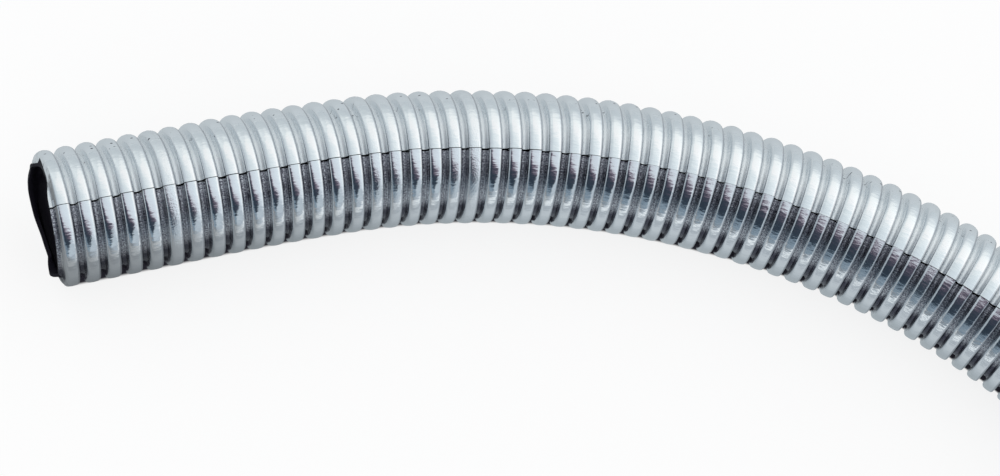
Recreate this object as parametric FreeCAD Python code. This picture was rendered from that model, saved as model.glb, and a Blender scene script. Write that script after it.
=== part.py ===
import FreeCAD, Part

import math
import os

"""Split convoluted loom tube, chrome faced, lying flat as a cut piece of stock.

Millimetres, +Z up. The tube rests on the plane Z = 0, with the origin under the middle of
its bounding box. Its centreline is flat, one crest radius above that plane: it leaves the
front end along +X and bends sideways through arcs that run smoothly into each other,
until the rear end points along -Y. It is drawn from the front end and centred last.
"""

# Section of the wall
OUTER_D = 24.8            # over the crests
GROOVE_DEPTH = 2.0        # from crest to groove floor
WALL = 0.6                # groove floor to bore, which gives nominal 3/4 in loom its bore

# Waves along the tube
PITCH = 3.81              # one corrugation, 0.15 in
REPEATS = 80              # makes one foot of stock
CREST_SHARE = 0.56        # flat of the crest, as a share of the pitch
FLOOR_SHARE = 0.18        # flat of the groove floor, as a share of the pitch

# Slit and cut ends
SLIT_WIDTH = 0.4          # how far the slit stands open
SLIT_ANGLE = 105.0        # degrees from the left-hand side, up over the tube, to the slit
FRONT_STUB = 0.8          # length left of the groove that the front cut goes through
KNIFE_LEAN = 2.0          # degrees that the hand-cut front end is off square
OVERSHOOT = 2.0           # how far a cutting tool runs past what it cuts

# Route of the centreline, from the front end: straight, three bends to the right, straight
LEAD_LENGTH = 30.7
EASE_LENGTH = 24.0
EASE_TURN = 3.0           # degrees
BEND_LENGTH = 104.0
BEND_TURN = 36.0          # degrees
REAR_TURN = 51.0          # degrees
TAIL_LENGTH = 20.0

# Values that follow
CREST_R = OUTER_D / 2.0
GROOVE_R = CREST_R - GROOVE_DEPTH
BORE_R = GROOVE_R - WALL
HALF_CREST = PITCH * CREST_SHARE / 2.0
HALF_FLOOR = PITCH * FLOOR_SHARE / 2.0
LENGTH = PITCH * REPEATS
REAR_LENGTH = LENGTH - LEAD_LENGTH - EASE_LENGTH - BEND_LENGTH - TAIL_LENGTH
ROUTE = (
    (LEAD_LENGTH, 0.0),
    (EASE_LENGTH, -EASE_TURN),
    (BEND_LENGTH, -BEND_TURN),
    (REAR_LENGTH, -REAR_TURN),
    (TAIL_LENGTH, 0.0),
)
UP = FreeCAD.Vector(0, 0, 1)
AXIS = FreeCAD.Vector(1, 0, 0)
CENTRE = FreeCAD.Vector(0, 0, 0)


def place_at(distance):
    """Placement whose X axis follows the centreline at a distance from the front end."""
    point = FreeCAD.Vector(0, 0, CREST_R)
    heading = 0.0
    left = distance
    for length, turn in ROUTE:
        step = min(left, length)
        swing = math.radians(turn) * step / length
        chord = step if swing == 0.0 else step * math.sin(swing / 2.0) / (swing / 2.0)
        middle = heading + swing / 2.0
        point = point + FreeCAD.Vector(math.cos(middle), math.sin(middle), 0) * chord
        heading = heading + swing
        left = left - step
        if left <= 0.0:
            break
    return FreeCAD.Placement(point, FreeCAD.Rotation(UP, math.degrees(heading)))


def moved_on(place, step):
    """A placement moved straight along its own X axis."""
    return place.multiply(FreeCAD.Placement(AXIS * step, FreeCAD.Rotation()))


def front_of_tools():
    """Where the bore and the slit blade start, clear of the front end."""
    return moved_on(place_at(0.0), -FRONT_STUB - OVERSHOOT)


def centreline():
    """The route as one wire of lines and arcs, carried past both ends."""
    edges = [Part.makeLine(front_of_tools().Base, place_at(0.0).Base)]
    start = 0.0
    for length, turn in ROUTE:
        ends = [place_at(start + length * share).Base for share in (0.0, 0.5, 1.0)]
        edges.append(Part.makeLine(ends[0], ends[2]) if turn == 0.0 else Part.Arc(*ends).toShape())
        start = start + length
    rear = place_at(LENGTH)
    edges.append(Part.makeLine(rear.Base, moved_on(rear, OVERSHOOT).Base))
    return Part.Wire(edges)


def ring(place, radius):
    """A circle square to a placement's X axis, with its seam where the slit runs."""
    wire = Part.Wire(Part.makeCircle(radius, CENTRE, AXIS))
    wire.rotate(CENTRE, AXIS, SLIT_ANGLE)
    wire.Placement = place.multiply(wire.Placement)
    return wire


def wave(crest):
    """The four rings of one wave, on one straight axis: the bending is left to the groove floors."""
    foot = PITCH / 2.0 - HALF_FLOOR
    steps = ((-foot, GROOVE_R), (-HALF_CREST, CREST_R), (HALF_CREST, CREST_R), (foot, GROOVE_R))
    return [ring(moved_on(crest, step), radius) for step, radius in steps]


def corrugated_body():
    """The outer wall, ruled from ring to ring: crest, flank, groove floor, flank, and so on."""
    rings = [ring(moved_on(place_at(0.0), -FRONT_STUB - OVERSHOOT / 2.0), GROOVE_R)]
    for repeat in range(REPEATS):
        rings = rings + wave(place_at((repeat + 0.5) * PITCH))
    rings.append(ring(place_at(LENGTH), GROOVE_R))
    return Part.makeLoft(rings, True, True)


def bore():
    """The hollow for the wires, run right through."""
    return centreline().makePipeShell([ring(front_of_tools(), BORE_R)], True, False)


def slit_blade():
    """A thin blade that parts the wall along the whole length."""
    inner = BORE_R - OVERSHOOT
    outer = CREST_R + OVERSHOOT
    half = SLIT_WIDTH / 2.0
    corners = [(-half, inner), (half, inner), (half, outer), (-half, outer), (-half, inner)]
    outline = Part.makePolygon([FreeCAD.Vector(0, side, height) for side, height in corners])
    outline.rotate(CENTRE, AXIS, SLIT_ANGLE - 90.0)
    outline.Placement = front_of_tools().multiply(outline.Placement)
    return centreline().makePipeShell([outline], True, False)


def knife():
    """The block taken off the front end by a hand-held knife, a little off square."""
    size = 3.0 * OUTER_D
    block = Part.makeBox(size, size, size, FreeCAD.Vector(-size, -size / 2.0, -size / 2.0))
    block.rotate(CENTRE, UP, KNIFE_LEAN)
    block.translate(FreeCAD.Vector(-FRONT_STUB, 0, CREST_R))
    return block


def loom_tube():
    """The whole cut piece: waves outside, smooth bore, one slit, centred over the origin."""
    tube = corrugated_body().cut(bore())
    tube = tube.cut(slit_blade())
    tube = tube.cut(knife()).Solids[0]
    middle = tube.optimalBoundingBox(True).Center
    tube.translate(FreeCAD.Vector(-middle.x, -middle.y, 0))
    return tube


os.makedirs("parts", exist_ok=True)
loom_tube().exportStep("parts/loom_tube.step")
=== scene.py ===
import math
import random

import bpy
from bpy.props import FloatProperty, FloatVectorProperty, IntProperty, PointerProperty
from mathutils import Matrix, Vector
from mathutils.kdtree import KDTree


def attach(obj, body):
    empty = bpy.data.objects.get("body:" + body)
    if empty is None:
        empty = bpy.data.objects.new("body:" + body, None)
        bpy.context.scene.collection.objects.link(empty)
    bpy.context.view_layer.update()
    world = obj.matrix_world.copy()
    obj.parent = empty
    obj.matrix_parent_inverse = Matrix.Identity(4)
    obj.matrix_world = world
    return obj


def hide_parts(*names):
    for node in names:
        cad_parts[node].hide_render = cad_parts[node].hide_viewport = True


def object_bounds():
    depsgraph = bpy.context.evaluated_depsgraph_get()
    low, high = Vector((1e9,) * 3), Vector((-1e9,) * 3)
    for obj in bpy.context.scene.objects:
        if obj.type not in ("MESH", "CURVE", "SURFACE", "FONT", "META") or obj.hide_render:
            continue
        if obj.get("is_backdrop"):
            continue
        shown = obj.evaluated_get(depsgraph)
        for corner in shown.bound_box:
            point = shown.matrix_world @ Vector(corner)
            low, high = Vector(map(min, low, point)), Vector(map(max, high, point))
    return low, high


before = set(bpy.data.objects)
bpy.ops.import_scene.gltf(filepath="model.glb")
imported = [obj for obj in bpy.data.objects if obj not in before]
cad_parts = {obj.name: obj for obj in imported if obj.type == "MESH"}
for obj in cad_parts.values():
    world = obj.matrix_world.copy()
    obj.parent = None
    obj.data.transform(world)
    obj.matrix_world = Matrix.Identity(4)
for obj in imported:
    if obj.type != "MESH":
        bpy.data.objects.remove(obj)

bl_info = {
    "name": "Chrome wire loom",
    "version": (1, 0, 0),
    "blender": (4, 5, 0),
    "location": "3D View > Sidebar > Wire loom",
    "description": "Dresses a split corrugated loom tube and sets it on a plain stage",
    "category": "Object",
}

MM = 0.001
CAD_LOW, CAD_HIGH = (Vector(corner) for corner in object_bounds())

# Bends of the centreline after the straight lead, as length in mm and turn in degrees
EASE_BEND = (24.0, -3.0)
MAIN_BEND = (104.0, -36.0)
REAR_TURN = -51.0
TAIL_LENGTH = 20.0
LEAD_LENGTH = 30.7

# How far the waves stand off even spacing, as (distance along the tube, shift) in mm
WAVE_DRIFT = (
    (0.0, -0.9), (74.0, -1.0), (92.0, -0.86), (144.0, -0.82), (158.0, -0.5), (172.0, -0.3), (304.8, 0.0))
# Ragged front edge: degrees from the left side up over the top, and place along the tube in mm
FRONT_CUT = (
    (0.0, -0.8), (12.0, -0.95), (22.0, -1.0), (30.0, -0.5), (38.0, 0.1), (58.0, -0.05), (71.0, -0.1),
    (82.0, -0.6), (92.0, -0.95), (110.0, -1.12), (160.0, -1.0), (182.0, -0.7), (192.0, 0.1), (201.0, 0.5),
    (209.0, 0.1), (215.0, -0.9), (222.0, -1.12), (241.0, -0.6), (254.0, 0.0), (278.0, -0.17), (298.0, -0.72),
    (325.0, -1.12), (340.0, -1.1), (360.0, -0.8))
# How square the crests are, by degrees from the left side up over the top
SQUARENESS = ((0.0, 0.0), (22.0, 0.0), (45.0, 0.55), (72.0, 1.0), (260.0, 1.0), (330.0, 0.0), (360.0, 0.0))
# How far the waves are dished along the tube in mm, by degrees from the left side up over the top
WAVE_DISH = (
    (0.0, 0.2), (30.0, 0.35), (70.0, 0.32), (88.0, 0.18), (108.0, 0.0), (135.0, 0.0), (156.0, 0.15),
    (172.0, 0.42), (195.0, 0.85), (215.0, 1.0), (260.0, 0.5), (310.0, 0.1), (360.0, 0.2))
# How much of that dish there is, by distance along the tube in mm
DISH_FADE = ((0.0, 1.0), (220.0, 1.0), (290.0, 0.0), (304.8, 0.0))
# How far the slit stands open on the crests, as (distance in mm, share of the gap)
CREST_GAP = ((0.0, 0.35), (90.0, 0.35), (110.0, 0.1), (160.0, 0.1), (175.0, 0.35), (304.8, 0.35))
# Flattening beside the slit: its depth in mm and how far round it is deepest
KINK_DEPTH = 0.16
KINK_REACH = math.radians(24.0)
# Corner between two faces that shows as an edge
EDGE_ANGLE = math.radians(65.0)
# Places round the tube in mm from the left side, counted on over the top from the slit for a turn: the belt
# of pits and its half width, the fine seam, and the stretch that the ramps of floor grey and painted shade
# cover
PIT_BELT = (88.4, 1.5)
SEAM_AT = 89.6
SEAM_WIDTH = 0.16
RAMPS_FROM = 20.0
RAMPS_TO = 102.0
# Scuffed waves, and how worn the others are at most
SCUFFED_WAVES = (5, 20)
MOST_WEAR = 0.5
# Sizes of the patterns in the film, in mm: drag lines along and across, orange peel, grit (drawn
# coarser than it looks close up, so that it shows) and the spacing of the pits
DRAG_SIZE = (1.6, 0.6)
PEEL_SIZE = 2.5
GRIT_SIZE = 0.3
PIT_SPACING = 1.6
# Height of that relief, in mm
PEEL_RELIEF = 0.09
DRAG_RELIEF = 0.05
GRIT_RELIEF = 0.09
PIT_RELIEF = 0.1
SEAM_RELIEF = 0.025
# Grain of the bare plastic and its relief, in mm
GRAIN_SIZE = 1.0
GRAIN_RELIEF = 0.05

# Painted shade under the tube: a strip painted dark on the board, as wide as the tube hides from the camera
# on its far side: dark out to the first share of that width, gone at the second, and short of the ends by so
# many of the route's samples
UNDER_SHADE = (0.92, 0.995)
SHADE_INSET = 5
# How wide that strip is drawn, by share of the way along the tube
SHADE_REACH = ((0.0, 1.0), (0.42, 1.0), (0.55, 0.82), (1.0, 0.82))

# Mesh: rows before the first crest, faces round the tube, and outer rings for each inner one
FRONT_ROWS = 8
SEGMENTS = 64
INNER_EVERY = 3

# Board that the tube lies on, in metres: fine squares to 150 mm each way, then these lines
FLOOR_STEP = 0.002
FLOOR_STEPS = 75
FLOOR_EDGES = (0.2, 0.25, 0.4, 1.0, 3.0)
# Points on the centreline that the board's shades are measured from
ROUTE_SAMPLES = 600
# Past the ends of the tube there is no shade
UNSHADED = 2.0

# Camera, placed from the photograph, about the front end of the centreline
CAMERA_AIM = (79.49, -20.56)
CAMERA_DISTANCE = 499.5
CAMERA_AZIMUTH = -135.45
CAMERA_ELEVATION = 63.5
CAMERA_ROLL = 30.51
CAMERA_FOCAL_PIXELS = 2719.0
IMAGE_WIDTH = 1000
SENSOR_WIDTH = 36.0

# What the chrome mirrors, from the horizon before the tube (0) over the top to the one behind it (1):
# straight ahead the dark front of the room, beside it the pale side walls
ROOM_STOPS = (
    (0.0, "84929E"), (0.035, "8696A3"), (0.055, "5F707E"), (0.075, "8292A0"), (0.1, "4C5B68"),
    (0.125, "2A3642"), (0.2, "2C3642"), (0.25, "393D4A"), (0.292, "524B58"), (0.325, "8E8693"),
    (0.35, "C4CAD2"), (0.45, "CFD8E0"), (0.53, "D6E0E5"), (0.6, "E6EEF1"), (0.68, "FFFFFF"),
    (0.8, "FAFFFF"), (0.87, "DCE4E8"), (0.93, "C9D2D7"), (1.0, "CBD4D9"))
WALL_STOPS = (
    (0.0, "A9B3BC"), (0.1, "ACB7BF"), (0.2, "A2ADB6"), (0.3, "BBC4CC"), (0.36, "CAD2D9"), (0.45, "CDD7DF"),
    (0.53, "D2DCE1"), (0.6, "DEE7EB"), (0.69, "EEF6F8"), (0.78, "E6EEF1"), (0.86, "D2DBDF"),
    (1.0, "C9D2D7"))
# Where the dark front begins and ends from side to side, from -1 on the left to 1 on the right, and
# how much less far right it reaches low down
DARK_LEFT = (-0.5, -0.4)
DARK_RIGHT = (0.67, 0.72)
DARK_SPLAY = -0.3
# How much brighter the reflections are on the left and on the right
SIDE_LIGHT = (-0.06, 0.2)
SIDE_LIGHT_FROM = (-0.6, 0.95)
# Painted light on the board that only the chrome mirrors, from 100 mm behind the tube (0) to 300 mm before
# it (1)
BOARD_REACH = (-0.1, 0.3)
POOLED_LIGHT_STOPS = (
    (0.0, "C4CDD2"), (0.25, "B8C1C6"), (0.285, "A2ACB2"), (0.297, "ADB7BE"), (0.3125, "BFC8CE"),
    (0.33, "BAC3CA"), (0.345, "9EA8B1"), (0.365, "9AA5AE"), (0.385, "B4BEC6"), (0.415, "E8F0F4"),
    (0.45, "FAFEFF"), (0.48, "E0E8EE"), (0.52, "A9B6C1"), (0.75, "94A3B0"), (1.0, "8897A5"))
# The light pooled before the tube falls off along X, in metres, to this share of itself
POOL_FADE = (-0.11, -0.01)
POOL_LEAST = 0.32
# Share of plain white in what the camera sees of the board, and of pooled light in what chrome sees
WHITE_SHARE = 0.82
POOL_SHARE = 0.8
# Ramps round the tube from the slit and back to it, black for none: the grey on the groove floors, partly
# painted shade, and the painted shade on the flanks of each wave
FLOOR_GREY = ((0.0, "FFFFFF"), (0.5, "FFFFFF"), (0.64, "000000"), (0.95, "000000"), (1.0, "404040"))
FLANK_SHADE = (
    (0.0, "A8A8A8"), (0.05, "A8A8A8"), (0.09, "C8C8C8"), (0.13, "707070"), (0.165, "383838"),
    (0.4, "383838"), (0.64, "000000"), (0.84, "000000"), (0.91, "606060"), (1.0, "B0B0B0"))
# Painted shade on the whole of the grooves, low on the side before the tube
LOW_GROOVE_SHADE = (
    (0.0, "000000"), (0.185, "000000"), (0.215, "F0F0F0"), (0.4, "F0F0F0"), (0.64, "000000"))


def linear(hex_colour):
    """Linear RGBA from an sRGB hex colour."""
    values = []
    for start in (0, 2, 4):
        part = int(hex_colour[start:start + 2], 16) / 255.0
        values.append(part / 12.92 if part <= 0.04045 else ((part + 0.055) / 1.055) ** 2.4)
    return (*values, 1.0)


class LoomSizes(bpy.types.PropertyGroup):
    """Sizes of the tube"""
    outer_diameter: FloatProperty(
        name="Outside diameter", description="Across the crests",
        default=24.8 * MM, unit="LENGTH", precision=5)
    groove_depth: FloatProperty(
        name="Groove depth", description="From crest to groove floor",
        default=2.0 * MM, unit="LENGTH", precision=5)
    wall: FloatProperty(
        name="Wall", description="Thickness of the plastic, the same all over the wave",
        default=0.6 * MM, unit="LENGTH", precision=5)
    pitch: FloatProperty(
        name="Pitch", description="Length of one wave",
        default=3.81 * MM, unit="LENGTH", precision=5)
    waves: IntProperty(name="Waves", description="Number of waves", default=80)
    slit_gap: FloatProperty(
        name="Slit gap", description="How far the slit stands open",
        default=0.28 * MM, unit="LENGTH", precision=5)
    slit_start: FloatProperty(
        name="Slit at front", description="Angle of the slit from the left side, at the front end",
        default=math.radians(101.5), unit="ROTATION")
    slit_twist: FloatProperty(
        name="Slit twist", description="How far the slit wanders round over the whole length",
        default=math.radians(20.0), unit="ROTATION")


class LoomColours(bpy.types.PropertyGroup):
    """Colours of the finishes"""
    chrome: FloatVectorProperty(
        name="Chrome", description="Tint of the metallised face",
        subtype="COLOR", size=4, default=linear("F0F3F5"), min=0.0, max=1.0)
    # Grey on the groove floors, partly their grit and partly painted shade, and a painted shade line on one
    # shoulder
    floor_grey_and_shade_line: FloatVectorProperty(
        name="Floor grey and shade line", description="Speckles on the groove floors and a fine line on one shoulder",
        subtype="COLOR", size=4, default=linear("82808A"), min=0.0, max=1.0)
    # Painted shade on the steep flanks and low grooves, and the same dark in the pits
    painted_shade: FloatVectorProperty(
        name="Painted shade", description="Dark steep flanks and low grooves",
        subtype="COLOR", size=4, default=linear("2F2C42"), min=0.0, max=1.0)
    plastic: FloatVectorProperty(
        name="Plastic", description="Bare plastic inside and at the cuts",
        subtype="COLOR", size=4, default=linear("1B1923"), min=0.0, max=1.0)


def centreline():
    """The route as (length, turn) pairs in metres and radians."""
    sizes = bpy.context.scene.loom_sizes
    total = sizes.pitch * sizes.waves
    rear = total - (LEAD_LENGTH + EASE_BEND[0] + MAIN_BEND[0] + TAIL_LENGTH) * MM
    return (
        (LEAD_LENGTH * MM, 0.0),
        (EASE_BEND[0] * MM, math.radians(EASE_BEND[1])),
        (MAIN_BEND[0] * MM, math.radians(MAIN_BEND[1])),
        (rear, math.radians(REAR_TURN)),
        (TAIL_LENGTH * MM, 0.0),
    )


def walk(distance):
    """Point and heading on the centreline, before it is set in the frame."""
    point = Vector((0.0, 0.0, bpy.context.scene.loom_sizes.outer_diameter / 2.0))
    heading = 0.0
    left = distance
    for length, turn in centreline():
        step = min(left, length)
        swing = turn * step / length
        chord = step if swing == 0.0 else step * math.sin(swing / 2.0) / (swing / 2.0)
        middle = heading + swing / 2.0
        point = point + Vector((math.cos(middle), math.sin(middle), 0.0)) * chord
        heading = heading + swing
        left = left - step
        if left <= 0.0:
            break
    return point, heading


def front_end():
    """Where the front end of the centreline lies in the frame: the rear end gives it."""
    sizes = bpy.context.scene.loom_sizes
    rear, heading = walk(sizes.pitch * sizes.waves)
    rear_x = CAD_HIGH.x - sizes.outer_diameter / 2.0
    return Vector((rear_x - rear.x, CAD_LOW.y - rear.y, 0.0))


def place(distance):
    """Frame at a distance along the centreline: X along it, Z up."""
    point, heading = walk(distance)
    return Matrix.Translation(front_end() + point) @ Matrix.Rotation(heading, 4, "Z")


def wave_profile(squareness):
    """Half a wave of the chrome face, from crest to groove centre: step and drop in mm.

    The crests are round on the outside of the bend and squarer on the inside."""
    sizes = bpy.context.scene.loom_sizes
    depth = sizes.groove_depth / MM
    round_wave = (0.0, 0.09, 0.26, 0.46, 0.74, depth - 0.6, depth - 0.1, depth)
    square_wave = (0.0, 0.03, 0.1, 0.28, 0.9, depth - 0.2, depth - 0.03, depth)
    steps = (0.0, 0.55, 0.92, 1.14, 1.28, 1.42, 1.56, sizes.pitch / 2.0 / MM)
    return tuple(
        (step, rounded + (squared - rounded) * squareness)
        for step, rounded, squared in zip(steps, round_wave, square_wave))


def squareness_at(turn):
    """How square the crests are at an angle from the left side up over the top."""
    return level(SQUARENESS, math.degrees(turn) % 360.0)


def drift(distance, turn):
    """How far the waves stand from even spacing at a place along and round the tube, in mm."""
    dish = level(WAVE_DISH, math.degrees(turn) % 360.0) * level(DISH_FADE, distance)
    return level(WAVE_DRIFT, distance) + dish


def drop_at(distance, turn):
    """Drop of the chrome face below the crest, at a distance along an even tube, all in mm."""
    pitch = bpy.context.scene.loom_sizes.pitch / MM
    step = abs((distance / pitch) % 1.0 - 0.5) * pitch
    return level(wave_profile(squareness_at(turn)), step)


def level(pairs, place_on):
    """Straight-line reading between (place, value) pairs in rising order."""
    for (low, value_low), (high, value_high) in zip(pairs, pairs[1:]):
        if place_on <= high:
            return value_low + (value_high - value_low) * (place_on - low) / (high - low)
    return pairs[-1][1]


def stations():
    """Distance along an even tube in mm and wave number, of each ring after the front end."""
    sizes = bpy.context.scene.loom_sizes
    pitch = sizes.pitch / MM
    steps = [step for step, drop in wave_profile(0.0)]
    steps = [-step for step in reversed(steps[1:])] + steps[:-1]
    rings = []
    for wave in range(sizes.waves):
        rings += [((wave + 0.5) * pitch + step, wave) for step in steps if wave > 0 or step > 0.0]
    rings.append((sizes.waves * pitch, sizes.waves - 1))
    return rings


def slit_at(distance, deep, luck):
    """Angle of the slit and half its opening in mm, a little uneven from wave to wave, at a place
    along the tube and a share of the groove's depth."""
    sizes = bpy.context.scene.loom_sizes
    share = distance * MM / (sizes.pitch * sizes.waves)
    wander, opening = luck
    angle = sizes.slit_start + sizes.slit_twist * share + wander
    open_share = level(CREST_GAP, distance) * (1.0 + opening) + 0.7 * deep
    return angle, (sizes.slit_gap / MM) * open_share / 2.0


def kink(round_share):
    """Flattening beside the slit in mm, which leaves a faint ridge where the two lips meet."""
    angle = min(round_share, 1.0 - round_share) * 2.0 * math.pi / KINK_REACH
    return KINK_DEPTH * angle * math.exp(1.0 - angle)


class LOOM_OT_tube(bpy.types.Operator):
    """Make the split tube: chrome waves outside, bare plastic inside and at the cuts"""
    bl_idname = "loom.tube"
    bl_label = "Loom tube"

    def execute(self, context):
        self.sizes = context.scene.loom_sizes
        chance = random.Random(7)
        waves = range(self.sizes.waves)
        # For each wave: the slit's wander in radians and opening, its swelling in mm and where it
        # lies, how far its crest has crept in mm, and how worn it is
        self.slit_luck = [(chance.uniform(-0.008, 0.008), chance.uniform(0.0, 0.5)) for wave in waves]
        self.swell = [(chance.uniform(0.0, 0.03), chance.uniform(0.0, 6.3)) for wave in waves]
        self.creep = [chance.uniform(-0.05, 0.05) for wave in waves]
        self.wear = [MOST_WEAR * chance.uniform(0.0, 1.0) ** 3 for wave in waves]
        for wave in SCUFFED_WAVES:
            self.wear[wave] = 1.0
        self.vertices, self.depths, self.places, self.worn, self.flanks = [], [], [], [], []
        outer_rings = []
        inner_rings = []
        front = [(step / FRONT_ROWS, None) for step in range(FRONT_ROWS + 1)]
        rows = front + stations()
        for index, row in enumerate(rows):
            last = index == len(rows) - 1
            outer_rings.append(self.ring(row, 0.0, last))
            if index % INNER_EVERY == 0 or last:
                inner_rings.append((index, self.ring(row, self.sizes.wall / MM, last)))
        faces, finishes = self.skin(outer_rings, inner_rings)
        self.finish_mesh(context, faces, finishes)
        return {"FINISHED"}

    def along(self, row, turn, last):
        """Where a row's point lies at an angle: distance on an even tube and on this one, in mm."""
        spot, wave = row
        if wave is not None:
            return spot, spot + (0.0 if last else drift(spot, turn))
        start = level(FRONT_CUT, math.degrees(turn) % 360.0)
        crest = self.sizes.pitch / MM / 2.0 + drift(0.0, turn)
        distance = start + (crest - start) * spot
        return distance - drift(0.0, turn), distance

    def ring(self, row, wall, last):
        """One ring of points from lip to lip, at the face or a wall thickness inside it.

        A row is a distance on an even tube and its wave, or, before the first crest, a share of the
        way to that crest and None."""
        first = len(self.vertices)
        depth = self.sizes.groove_depth / MM
        crest_radius = self.sizes.outer_diameter / 2.0 / MM
        wave = row[1] or 0
        grow, phase = self.swell[wave]
        creep = 0.0 if last or row[1] is None else self.creep[wave]
        for step in range(SEGMENTS + 1):
            share = step / SEGMENTS
            turn = self.sizes.slit_start + 2.0 * math.pi * share
            even, distance = self.along(row, turn, last)
            on_wave = max(0.0, even)
            drop = drop_at(on_wave, turn)
            if wall:
                drop = max(drop_at(abs(on_wave + reach), turn) for reach in (-wall, 0.0, wall)) + wall
            deep = min(1.0, drop / depth)
            angle, half_gap = slit_at(distance, deep, self.slit_luck[wave])
            swollen = grow * (1.0 - deep) * (math.sin(2.0 * angle + 4.0 * math.pi * share + phase) - 1.0)
            radius = crest_radius - drop - kink(share) + swollen
            distance += creep * (1.0 - deep)
            angle += half_gap / radius + (2.0 * math.pi - 2.0 * half_gap / radius) * share
            across = Vector((0.0, math.cos(angle), math.sin(angle))) * radius * MM
            self.vertices.append(place(distance * MM) @ across)
            self.depths.append(deep)
            self.places += [even, angle * crest_radius, 0.0]
            self.worn.append(self.wear[wave])
            self.flanks.append(math.sin(2.0 * math.pi * on_wave * MM / self.sizes.pitch))
        return range(first, len(self.vertices))

    def finish_mesh(self, context, faces, finishes):
        """Mesh, finishes and the marks that the materials read."""
        mesh = bpy.data.meshes.new("loom_tube_wall")
        mesh.from_pydata([tuple(vertex) for vertex in self.vertices], [], faces)
        mesh.materials.append(chrome_face())
        mesh.materials.append(bare_plastic())
        mesh.polygons.foreach_set("material_index", finishes)
        mesh.polygons.foreach_set("use_smooth", [True] * len(faces))
        for name, values in (("groove", self.depths), ("worn", self.worn), ("flank", self.flanks)):
            mesh.attributes.new(name, "FLOAT", "POINT").data.foreach_set("value", values)
        mesh.attributes.new("unrolled", "FLOAT_VECTOR", "POINT").data.foreach_set("vector", self.places)
        mesh.update()
        mesh.set_sharp_from_angle(angle=EDGE_ANGLE)
        tube = bpy.data.objects.new("loom_tube_wall", mesh)
        context.scene.collection.objects.link(tube)
        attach(tube, "root")
        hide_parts("loom_tube")

    def skin(self, outer_rings, inner_rings):
        """Faces of the closed wall, and which finish each has: 0 chrome, 1 plastic."""
        faces = []
        finishes = []
        for ring_a, ring_b in zip(outer_rings, outer_rings[1:]):
            for step in range(SEGMENTS):
                faces.append((ring_a[step], ring_a[step + 1], ring_b[step + 1], ring_b[step]))
                finishes.append(0)
        for (index_a, ring_a), (index_b, ring_b) in zip(inner_rings, inner_rings[1:]):
            for step in range(SEGMENTS):
                faces.append((ring_a[step], ring_b[step], ring_b[step + 1], ring_a[step + 1]))
                finishes.append(1)
            outer = [outer_rings[index] for index in range(index_a, index_b + 1)]
            lip = [row[0] for row in outer]
            faces.append((*lip, ring_b[0], ring_a[0]))
            finishes.append(1)
            lip = [row[SEGMENTS] for row in outer]
            faces.append((*reversed(lip), ring_a[SEGMENTS], ring_b[SEGMENTS]))
            finishes.append(1)
        ends = ((outer_rings[0], inner_rings[0][1], False), (outer_rings[-1], inner_rings[-1][1], True))
        for outer, inner, flip in ends:
            for step in range(SEGMENTS):
                face = (outer[step], inner[step], inner[step + 1], outer[step + 1])
                faces.append(tuple(reversed(face)) if flip else face)
                finishes.append(1)
        return faces, finishes


def add_node(tree, kind, settings=None, inputs=None):
    """A node with its settings, "stops" being a colour ramp's (place, sRGB hex) pairs; each input is
    a value, or a (node, output) pair to link."""
    node = tree.nodes.new(kind)
    for name, value in (settings or {}).items():
        if name == "stops":
            elements = node.color_ramp.elements
            while len(elements) < len(value):
                elements.new(1.0)
            for element, (spot, colour) in zip(elements, value):
                element.position = spot
                element.color = linear(colour)
        else:
            setattr(node, name, value)
    for name, value in (inputs or {}).items():
        socket = node.inputs[name]
        if isinstance(value, tuple) and isinstance(value[0], bpy.types.Node):
            tree.links.new(value[0].outputs[value[1]], socket)
        else:
            socket.default_value = value
    return node


def new_material(name):
    """An empty node material and its output node."""
    material = bpy.data.materials.new(name)
    material.use_nodes = True
    material.node_tree.nodes.clear()
    output = add_node(material.node_tree, "ShaderNodeOutputMaterial")
    return material, output


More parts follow.
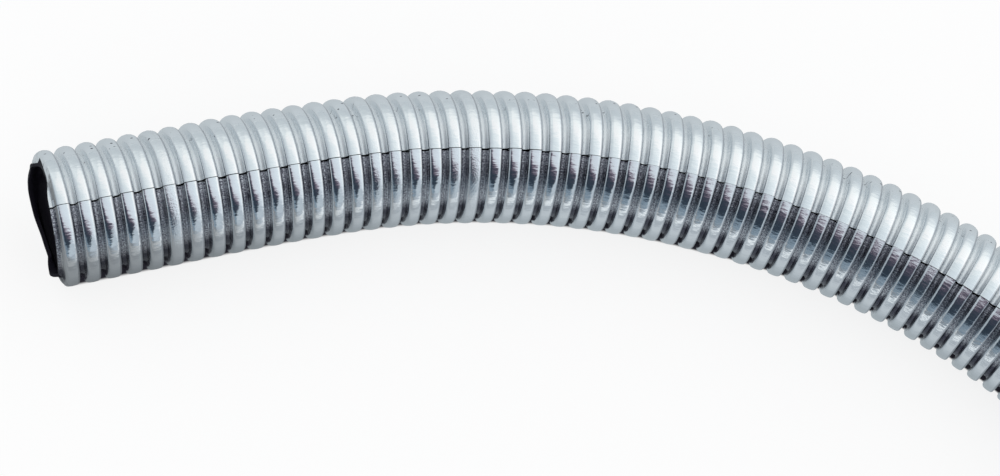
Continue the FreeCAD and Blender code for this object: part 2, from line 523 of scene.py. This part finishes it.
def chrome_face():
    """Metallised film on extruded nylon: a mirror that shows every drag line, pit and seam of the plastic
    under it, and dulls to a grey sparkle on the rough groove floors. Painted shade darkens its flanks, its
    low grooves and a fine line on one shoulder, and partly greys the groove floors."""
    material, output = new_material("metallised_nylon_extruded")
    tree = material.node_tree
    unrolled = add_node(tree, "ShaderNodeAttribute", {"attribute_name": "unrolled"})
    groove = add_node(tree, "ShaderNodeAttribute", {"attribute_name": "groove"})
    worn = add_node(tree, "ShaderNodeAttribute", {"attribute_name": "worn"})
    # Drag lines along the tube
    stretched = add_node(tree, "ShaderNodeMapping", None, {
        "Vector": (unrolled, "Vector"), "Scale": (1.0 / DRAG_SIZE[0], 1.0 / DRAG_SIZE[1], 1.0)})
    drag = add_node(tree, "ShaderNodeTexNoise", None, {
        "Vector": (stretched, "Vector"), "Scale": 1.0, "Detail": 3.0, "Roughness": 0.5})
    # Orange peel
    peel = add_node(tree, "ShaderNodeTexNoise", None, {
        "Vector": (unrolled, "Vector"), "Scale": 1.0 / PEEL_SIZE, "Detail": 1.0})
    # Grit on the groove floors and on scuffed waves
    grit = add_node(tree, "ShaderNodeTexNoise", None, {
        "Vector": (unrolled, "Vector"), "Scale": 1.0 / GRIT_SIZE, "Detail": 2.0})
    floor_share = add_node(tree, "ShaderNodeMapRange", None, {
        "Value": (groove, "Fac"), "From Min": 0.86, "From Max": 0.98, "To Min": 0.0, "To Max": 1.0})
    worn_share = add_node(tree, "ShaderNodeMath", {"operation": "MULTIPLY"}, {0: (worn, "Fac"), 1: 0.6})
    gritty = add_node(tree, "ShaderNodeMath", {"operation": "MAXIMUM"}, {
        0: (floor_share, "Result"), 1: (worn_share, "Value")})
    # Small pits, about 0.4 mm across, in a belt along the back of the crests
    around = add_node(tree, "ShaderNodeSeparateXYZ", None, {"Vector": (unrolled, "Vector")})
    cells = add_node(tree, "ShaderNodeTexVoronoi", {"feature": "F1"}, {
        "Vector": (unrolled, "Vector"), "Scale": 1.0 / PIT_SPACING, "Randomness": 1.0})
    dot = add_node(tree, "ShaderNodeMapRange", {"interpolation_type": "SMOOTHSTEP"}, {
        "Value": (cells, "Distance"), "From Min": 0.08, "From Max": 0.19, "To Min": 1.0, "To Max": 0.0})
    belt = add_node(tree, "ShaderNodeMath", {"operation": "COMPARE"}, {
        0: (around, "Y"), 1: PIT_BELT[0], 2: PIT_BELT[1]})
    pit = add_node(tree, "ShaderNodeMath", {"operation": "MULTIPLY"}, {
        0: (dot, "Result"), 1: (belt, "Value")})
    # Fine seam along the back
    seam = add_node(tree, "ShaderNodeMath", {"operation": "PINGPONG"}, {0: (around, "Y"), 1: SEAM_AT})
    seam_height = add_node(tree, "ShaderNodeMapRange", {"interpolation_type": "SMOOTHSTEP"}, {
        "Value": (seam, "Value"), "From Min": SEAM_AT - SEAM_WIDTH, "From Max": SEAM_AT,
        "To Min": 0.0, "To Max": 1.0})
    grit_height = add_node(tree, "ShaderNodeMath", {"operation": "MULTIPLY"}, {
        0: (grit, "Fac"), 1: (gritty, "Value")})
    peeled = add_node(tree, "ShaderNodeBump", None, {
        "Strength": 1.0, "Distance": PEEL_RELIEF * MM, "Height": (peel, "Fac")})
    dragged = add_node(tree, "ShaderNodeBump", None, {
        "Strength": 1.0, "Distance": DRAG_RELIEF * MM, "Height": (drag, "Fac"),
        "Normal": (peeled, "Normal")})
    rough = add_node(tree, "ShaderNodeBump", None, {
        "Strength": 1.0, "Distance": GRIT_RELIEF * MM, "Height": (grit_height, "Value"),
        "Normal": (dragged, "Normal")})
    pitted = add_node(tree, "ShaderNodeBump", {"invert": True}, {
        "Strength": 1.0, "Distance": PIT_RELIEF * MM, "Height": (pit, "Value"),
        "Normal": (rough, "Normal")})
    seamed = add_node(tree, "ShaderNodeBump", None, {
        "Strength": 1.0, "Distance": SEAM_RELIEF * MM, "Height": (seam_height, "Result"),
        "Normal": (pitted, "Normal")})
    dulling = add_node(tree, "ShaderNodeMapRange", None, {
        "Value": (gritty, "Value"), "To Min": 0.08, "To Max": 0.34})
    # Grey blotches on the groove floors under the slit, partly the grey of their rough grit and partly
    # painted shade
    ramp_share = add_node(tree, "ShaderNodeMapRange", None, {
        "Value": (around, "Y"), "From Min": RAMPS_FROM, "From Max": RAMPS_TO})
    floor_grey_ramp = add_node(tree, "ShaderNodeValToRGB", {"stops": FLOOR_GREY}, {"Fac": (ramp_share, "Result")})
    grey_floor = add_node(tree, "ShaderNodeMath", {"operation": "MULTIPLY"}, {
        0: (floor_grey_ramp, "Color"), 1: (floor_share, "Result")})
    blotch = add_node(tree, "ShaderNodeMapRange", None, {
        "Value": (grit, "Fac"), "From Min": 0.42, "From Max": 0.62, "To Min": 1.0, "To Max": 0.1})
    grey_blotches = add_node(tree, "ShaderNodeMath", {"operation": "MULTIPLY"}, {
        0: (grey_floor, "Value"), 1: (blotch, "Result")})
    # Painted shade: dark flanks on each wave, most the one that faces the front end, and dark low grooves
    flank = add_node(tree, "ShaderNodeAttribute", {"attribute_name": "flank"})
    steep = add_node(tree, "ShaderNodeMapRange", {"interpolation_type": "SMOOTHSTEP"}, {
        "Value": (flank, "Fac"), "From Min": 0.3, "From Max": 0.55, "To Min": 0.0, "To Max": 1.0})
    below_crown = add_node(tree, "ShaderNodeMapRange", {"interpolation_type": "SMOOTHSTEP"}, {
        "Value": (groove, "Fac"), "From Min": 0.12, "From Max": 0.3, "To Min": 0.0, "To Max": 1.0})
    flank_shade_ramp = add_node(tree, "ShaderNodeValToRGB", {"stops": FLANK_SHADE}, {"Fac": (ramp_share, "Result")})
    other_flank = add_node(tree, "ShaderNodeMapRange", {"interpolation_type": "SMOOTHSTEP"}, {
        "Value": (flank, "Fac"), "From Min": -0.45, "From Max": -0.8, "To Min": 0.0, "To Max": 0.85})
    either = add_node(tree, "ShaderNodeMath", {"operation": "ADD"}, {
        0: (steep, "Result"), 1: (other_flank, "Result")})
    flank_part = add_node(tree, "ShaderNodeMath", {"operation": "MULTIPLY"}, {
        0: (either, "Value"), 1: (below_crown, "Result")})
    flank_shade = add_node(tree, "ShaderNodeMath", {"operation": "MULTIPLY"}, {
        0: (flank_part, "Value"), 1: (flank_shade_ramp, "Color")})
    low_groove_shade_ramp = add_node(tree, "ShaderNodeValToRGB", {"stops": LOW_GROOVE_SHADE}, {"Fac": (ramp_share, "Result")})
    in_groove = add_node(tree, "ShaderNodeMapRange", {"interpolation_type": "SMOOTHSTEP"}, {
        "Value": (groove, "Fac"), "From Min": 0.3, "From Max": 0.7, "To Min": 0.0, "To Max": 1.0})
    low_groove_shade = add_node(tree, "ShaderNodeMath", {"operation": "MULTIPLY"}, {
        0: (in_groove, "Result"), 1: (low_groove_shade_ramp, "Color")})
    # The painted shade on the flanks and in the low grooves together
    bare = add_node(tree, "ShaderNodeMath", {"operation": "MAXIMUM"}, {
        0: (flank_shade, "Value"), 1: (low_groove_shade, "Value")})
    shade_or_pit = add_node(tree, "ShaderNodeMath", {"operation": "MAXIMUM"}, {
        0: (bare, "Value"), 1: (pit, "Value")})
    colours = bpy.context.scene.loom_colours
    # Grey blotches over the chrome on the groove floors
    film = add_node(tree, "ShaderNodeMix", {"data_type": "RGBA"}, {
        0: (grey_blotches, "Value"), 6: colours.chrome, 7: colours.floor_grey_and_shade_line})
    # Painted shade colour over the flanks and low grooves, and the same dark in the pits
    shaded_film = add_node(tree, "ShaderNodeMix", {"data_type": "RGBA"}, {
        0: (shade_or_pit, "Value"), 6: (film, 2), 7: colours.painted_shade})
    # A fine painted shade line on the shoulder that faces the rear end
    shoulder = add_node(tree, "ShaderNodeMapRange", {"interpolation_type": "SMOOTHSTEP"}, {
        "Value": (flank, "Fac"), "From Min": -0.985, "From Max": -0.9, "To Min": 0.5, "To Max": 0.0})
    lined = add_node(tree, "ShaderNodeMix", {"data_type": "RGBA"}, {
        0: (shoulder, "Result"), 6: (shaded_film, 2), 7: colours.floor_grey_and_shade_line})
    shader = add_node(tree, "ShaderNodeBsdfPrincipled", None, {
        "Base Color": (lined, 2), "Metallic": 1.0,
        "Roughness": (dulling, "Result"), "Normal": (seamed, "Normal")})
    tree.links.new(shader.outputs["BSDF"], output.inputs["Surface"])
    return material


def bare_plastic():
    """Black extruded nylon without its film: satin, with a faint grain that breaks up its sheen."""
    material, output = new_material("black_nylon_extruded")
    tree = material.node_tree
    spot = add_node(tree, "ShaderNodeTexCoord")
    grain = add_node(tree, "ShaderNodeTexNoise", None, {
        "Vector": (spot, "Object"), "Scale": 1.0 / (GRAIN_SIZE * MM), "Detail": 3.0})
    sheen = add_node(tree, "ShaderNodeMapRange", None, {
        "Value": (grain, "Fac"), "From Min": 0.3, "From Max": 0.7, "To Min": 0.5, "To Max": 0.65})
    bump = add_node(tree, "ShaderNodeBump", None, {
        "Strength": 0.3, "Distance": GRAIN_RELIEF * MM, "Height": (grain, "Fac")})
    shader = add_node(tree, "ShaderNodeBsdfPrincipled", None, {
        "Base Color": bpy.context.scene.loom_colours.plastic, "Roughness": (sheen, "Result"),
        "IOR": 1.53, "Specular IOR Level": 0.15, "Normal": (bump, "Normal")})
    tree.links.new(shader.outputs["BSDF"], output.inputs["Surface"])
    return material


def floor_marks(spot, route, headings):
    """Distance from the tube's centreline in the plan, negative behind the tube, and how far that is as a
    share of the width that the tube hides from the camera on its far side, which sets the painted shade
    under the tube."""
    nearest, index, distance = route.find(spot)
    away = Vector(spot) - nearest
    azimuth = math.radians(CAMERA_AZIMUTH)
    before = away.x * math.cos(azimuth) + away.y * math.sin(azimuth) > 0.0
    rise = math.tan(math.radians(CAMERA_ELEVATION))
    slope = math.atan2(rise, abs(math.sin(azimuth - headings[index])))
    hidden = bpy.context.scene.loom_sizes.outer_diameter / 2.0 * math.tan(slope / 2.0)
    hidden *= level(SHADE_REACH, index / (len(headings) - 1.0))
    beside = SHADE_INSET < index < len(headings) - SHADE_INSET
    return (distance if before else -distance), (distance / hidden if beside else UNSHADED)


def floor_mesh():
    """A level board, fine near the tube, whose corners carry the marks that its material reads."""
    line = [step * FLOOR_STEP for step in range(-FLOOR_STEPS, FLOOR_STEPS + 1)]
    line = [-edge for edge in reversed(FLOOR_EDGES)] + line + list(FLOOR_EDGES)
    count = len(line)
    spots = [(x, y, 0.0) for y in line for x in line]
    corners = [row * count + column for row in range(count - 1) for column in range(count - 1)]
    mesh = bpy.data.meshes.new("stage_floor")
    mesh.from_pydata(spots, [], [(spot, spot + 1, spot + count + 1, spot + count) for spot in corners])
    length = bpy.context.scene.loom_sizes.pitch * bpy.context.scene.loom_sizes.waves
    route = KDTree(ROUTE_SAMPLES + 1)
    start = front_end()
    headings = []
    for step in range(ROUTE_SAMPLES + 1):
        point, heading = walk(length * step / ROUTE_SAMPLES)
        route.insert((start.x + point.x, start.y + point.y, 0.0), step)
        headings.append(heading)
    route.balance()
    marks = [floor_marks(spot, route, headings) for spot in spots]
    for name, values in zip(("reach", "under"), zip(*marks)):
        mesh.attributes.new(name, "FLOAT", "POINT").data.foreach_set("value", values)
    return mesh


def board_material():
    """Painted board: white to the camera with the tube's shadow on it and painted shade close under the
    tube, and in the chrome a painted pool of light before the tube and the paler board beyond."""
    material, output = new_material("white_painted_board")
    tree = material.node_tree
    light_path = add_node(tree, "ShaderNodeLightPath")
    distance = add_node(tree, "ShaderNodeAttribute", {"attribute_name": "reach"})
    board = add_node(tree, "ShaderNodeBsdfDiffuse", None, {"Color": linear("E2E4E6")})
    paint = add_node(tree, "ShaderNodeBsdfDiffuse", None, {"Color": linear("F6F7F8")})
    white = add_node(tree, "ShaderNodeEmission", None, {"Color": linear("FFFFFF"), "Strength": 1.0})
    lit = add_node(tree, "ShaderNodeMixShader", None, {
        0: WHITE_SHARE, 1: (paint, "BSDF"), 2: (white, "Emission")})
    # Painted shade: the board goes dark close under the tube, short of its ends, both to the camera and in
    # the chrome
    under = add_node(tree, "ShaderNodeAttribute", {"attribute_name": "under"})
    under_shade_share = add_node(tree, "ShaderNodeMapRange", {"interpolation_type": "SMOOTHSTEP"}, {
        "Value": (under, "Fac"), "From Min": UNDER_SHADE[0], "From Max": UNDER_SHADE[1],
        "To Min": 0.0, "To Max": 1.0})
    dark = add_node(tree, "ShaderNodeBsdfDiffuse", None, {"Color": linear("3E3C46")})
    to_camera = add_node(tree, "ShaderNodeMixShader", None, {
        0: (under_shade_share, "Result"), 1: (dark, "BSDF"), 2: (lit, "Shader")})
    # Painted light: in the chrome the board glows with light pooled before the tube and a paler band beyond
    distance_share = add_node(tree, "ShaderNodeMapRange", None, {
        "Value": (distance, "Fac"), "From Min": BOARD_REACH[0], "From Max": BOARD_REACH[1]})
    pooled = add_node(tree, "ShaderNodeValToRGB", {"stops": POOLED_LIGHT_STOPS}, {
        "Fac": (distance_share, "Result")})
    spot = add_node(tree, "ShaderNodeTexCoord")
    along = add_node(tree, "ShaderNodeSeparateXYZ", None, {"Vector": (spot, "Object")})
    fall_off = add_node(tree, "ShaderNodeMapRange", {"interpolation_type": "SMOOTHSTEP"}, {
        "Value": (along, "X"), "From Min": POOL_FADE[0], "From Max": POOL_FADE[1],
        "To Min": POOL_LEAST, "To Max": 1.0})
    behind = add_node(tree, "ShaderNodeMath", {"operation": "LESS_THAN"}, {0: (distance, "Fac"), 1: 0.0})
    light = add_node(tree, "ShaderNodeMath", {"operation": "MAXIMUM"}, {
        0: (fall_off, "Result"), 1: (behind, "Value")})
    pool = add_node(tree, "ShaderNodeEmission", None, {
        "Color": (pooled, "Color"), "Strength": (light, "Value")})
    pooled_board = add_node(tree, "ShaderNodeMixShader", None, {
        0: POOL_SHARE, 1: (board, "BSDF"), 2: (pool, "Emission")})
    in_chrome = add_node(tree, "ShaderNodeMixShader", None, {
        0: (under_shade_share, "Result"), 1: (dark, "BSDF"), 2: (pooled_board, "Shader")})
    not_camera = add_node(tree, "ShaderNodeMixShader", None, {
        0: (light_path, "Is Glossy Ray"), 1: (board, "BSDF"), 2: (in_chrome, "Shader")})
    blend = add_node(tree, "ShaderNodeMixShader", None, {
        0: (light_path, "Is Camera Ray"), 1: (not_camera, "Shader"), 2: (to_camera, "Shader")})
    tree.links.new(blend.outputs["Shader"], output.inputs["Surface"])
    return material


def stage_floor():
    """The board that the tube lies on."""
    mesh = floor_mesh()
    mesh.materials.append(board_material())
    floor = bpy.data.objects.new("stage_floor", mesh)
    bpy.context.scene.collection.objects.link(floor)
    floor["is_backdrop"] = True


def stage_world():
    """Soft studio light: plain white, and in reflections a bright overhead diffuser with the dark
    front of the room below it."""
    world = bpy.data.worlds.new("studio")
    world.use_nodes = True
    tree = world.node_tree
    tree.nodes.clear()
    output = add_node(tree, "ShaderNodeOutputWorld")
    light_path = add_node(tree, "ShaderNodeLightPath")
    # The front of the room is the side that the camera stands on
    azimuth = math.radians(CAMERA_AZIMUTH)
    sky = add_node(tree, "ShaderNodeTexCoord")
    front = add_node(tree, "ShaderNodeVectorMath", {"operation": "DOT_PRODUCT"}, {
        0: (sky, "Generated"), 1: (math.cos(azimuth), math.sin(azimuth), 0.0)})
    side = add_node(tree, "ShaderNodeVectorMath", {"operation": "DOT_PRODUCT"}, {
        0: (sky, "Generated"), 1: (-math.sin(azimuth), math.cos(azimuth), 0.0)})
    height = add_node(tree, "ShaderNodeVectorMath", {"operation": "DOT_PRODUCT"}, {
        0: (sky, "Generated"), 1: (0.0, 0.0, 1.0)})
    over = add_node(tree, "ShaderNodeMath", {"operation": "ARCTAN2"}, {
        0: (height, "Value"), 1: (front, "Value")})
    over_share = add_node(tree, "ShaderNodeMath", {"operation": "DIVIDE"}, {
        0: (over, "Value"), 1: math.pi})
    room = add_node(tree, "ShaderNodeValToRGB", {"stops": ROOM_STOPS}, {"Fac": (over_share, "Value")})
    wall = add_node(tree, "ShaderNodeValToRGB", {"stops": WALL_STOPS}, {"Fac": (over_share, "Value")})
    side_low = add_node(tree, "ShaderNodeMapRange", {"interpolation_type": "SMOOTHSTEP"}, {
        "Value": (side, "Value"), "From Min": DARK_LEFT[0], "From Max": DARK_LEFT[1],
        "To Min": 0.0, "To Max": 1.0})
    splay = add_node(tree, "ShaderNodeMath", {"operation": "MULTIPLY_ADD"}, {
        0: (over_share, "Value"), 1: DARK_SPLAY, 2: (side, "Value")})
    side_high = add_node(tree, "ShaderNodeMapRange", {"interpolation_type": "SMOOTHSTEP"}, {
        "Value": (splay, "Value"), "From Min": DARK_RIGHT[0], "From Max": DARK_RIGHT[1],
        "To Min": 1.0, "To Max": 0.0})
    inside = add_node(tree, "ShaderNodeMath", {"operation": "MULTIPLY"}, {
        0: (side_low, "Result"), 1: (side_high, "Result")})
    picture = add_node(tree, "ShaderNodeMix", {"data_type": "RGBA"}, {
        0: (inside, "Value"), 6: (wall, "Color"), 7: (room, "Color")})
    brighter = add_node(tree, "ShaderNodeMapRange", {"interpolation_type": "SMOOTHSTEP"}, {
        "Value": (side, "Value"), "From Min": SIDE_LIGHT_FROM[0], "From Max": SIDE_LIGHT_FROM[1],
        "To Min": SIDE_LIGHT[0], "To Max": SIDE_LIGHT[1]})
    strength = add_node(tree, "ShaderNodeMath", {"operation": "MULTIPLY_ADD"}, {
        0: (light_path, "Is Glossy Ray"), 1: (brighter, "Result"), 2: 1.0})
    glossy = add_node(tree, "ShaderNodeMath", {"operation": "MAXIMUM"}, {
        0: (light_path, "Is Glossy Ray"), 1: (light_path, "Is Transmission Ray")})
    shown = add_node(tree, "ShaderNodeMix", {"data_type": "RGBA"}, {
        0: (glossy, "Value"), 6: linear("FFFFFF"), 7: (picture, 2)})
    glow = add_node(tree, "ShaderNodeBackground", None, {
        "Color": (shown, 2), "Strength": (strength, "Value")})
    tree.links.new(glow.outputs["Background"], output.inputs["Surface"])
    bpy.context.scene.world = world


def stage_camera():
    """The photograph's camera: above the tube, looking down, a little rolled."""
    elevation = math.radians(CAMERA_ELEVATION)
    azimuth = math.radians(CAMERA_AZIMUTH)
    roll = math.radians(CAMERA_ROLL)
    plan = Vector((math.cos(azimuth), math.sin(azimuth), 0.0))
    back = math.cos(elevation) * plan + Vector((0.0, 0.0, math.sin(elevation)))
    across = Vector((-math.sin(azimuth), math.cos(azimuth), 0.0))
    up = back.cross(across)
    right = math.cos(roll) * across + math.sin(roll) * up
    top = -math.sin(roll) * across + math.cos(roll) * up
    height = bpy.context.scene.loom_sizes.outer_diameter / 2.0
    aim = front_end() + Vector((CAMERA_AIM[0] * MM, CAMERA_AIM[1] * MM, height))
    lens = bpy.data.cameras.new("camera")
    lens.sensor_fit = "HORIZONTAL"
    lens.sensor_width = SENSOR_WIDTH
    lens.lens = CAMERA_FOCAL_PIXELS / IMAGE_WIDTH * SENSOR_WIDTH
    lens.clip_start = 0.01
    camera = bpy.data.objects.new("camera", lens)
    spin = Matrix((right, top, back)).transposed().to_4x4()
    camera.matrix_world = Matrix.Translation(aim + back * CAMERA_DISTANCE * MM) @ spin
    bpy.context.scene.collection.objects.link(camera)
    bpy.context.scene.camera = camera


class LOOM_OT_stage(bpy.types.Operator):
    """Set the board, the light and the camera"""
    bl_idname = "loom.stage"
    bl_label = "Stage"

    def execute(self, context):
        stage_floor()
        stage_world()
        stage_camera()
        context.scene.view_settings.view_transform = "Standard"
        return {"FINISHED"}


class LOOM_PT_panel(bpy.types.Panel):
    """Lists the sizes, the colours and what can be made"""
    bl_label = "Wire loom"
    bl_idname = "LOOM_PT_panel"
    bl_space_type = "VIEW_3D"
    bl_region_type = "UI"
    bl_category = "Wire loom"

    def draw(self, context):
        for group in (context.scene.loom_sizes, context.scene.loom_colours):
            for name in group.__annotations__:
                self.layout.prop(group, name)
        for operator in (LOOM_OT_tube, LOOM_OT_stage):
            self.layout.operator(operator.bl_idname)


CLASSES = (LoomSizes, LoomColours, LOOM_OT_tube, LOOM_OT_stage, LOOM_PT_panel)


def register():
    for item in CLASSES:
        bpy.utils.register_class(item)
    bpy.types.Scene.loom_sizes = PointerProperty(type=LoomSizes)
    bpy.types.Scene.loom_colours = PointerProperty(type=LoomColours)


def unregister():
    del bpy.types.Scene.loom_colours
    del bpy.types.Scene.loom_sizes
    for item in reversed(CLASSES):
        bpy.utils.unregister_class(item)


def main():
    register()
    bpy.ops.loom.tube()
    bpy.ops.loom.stage()


if __name__ == "__main__":
    main()
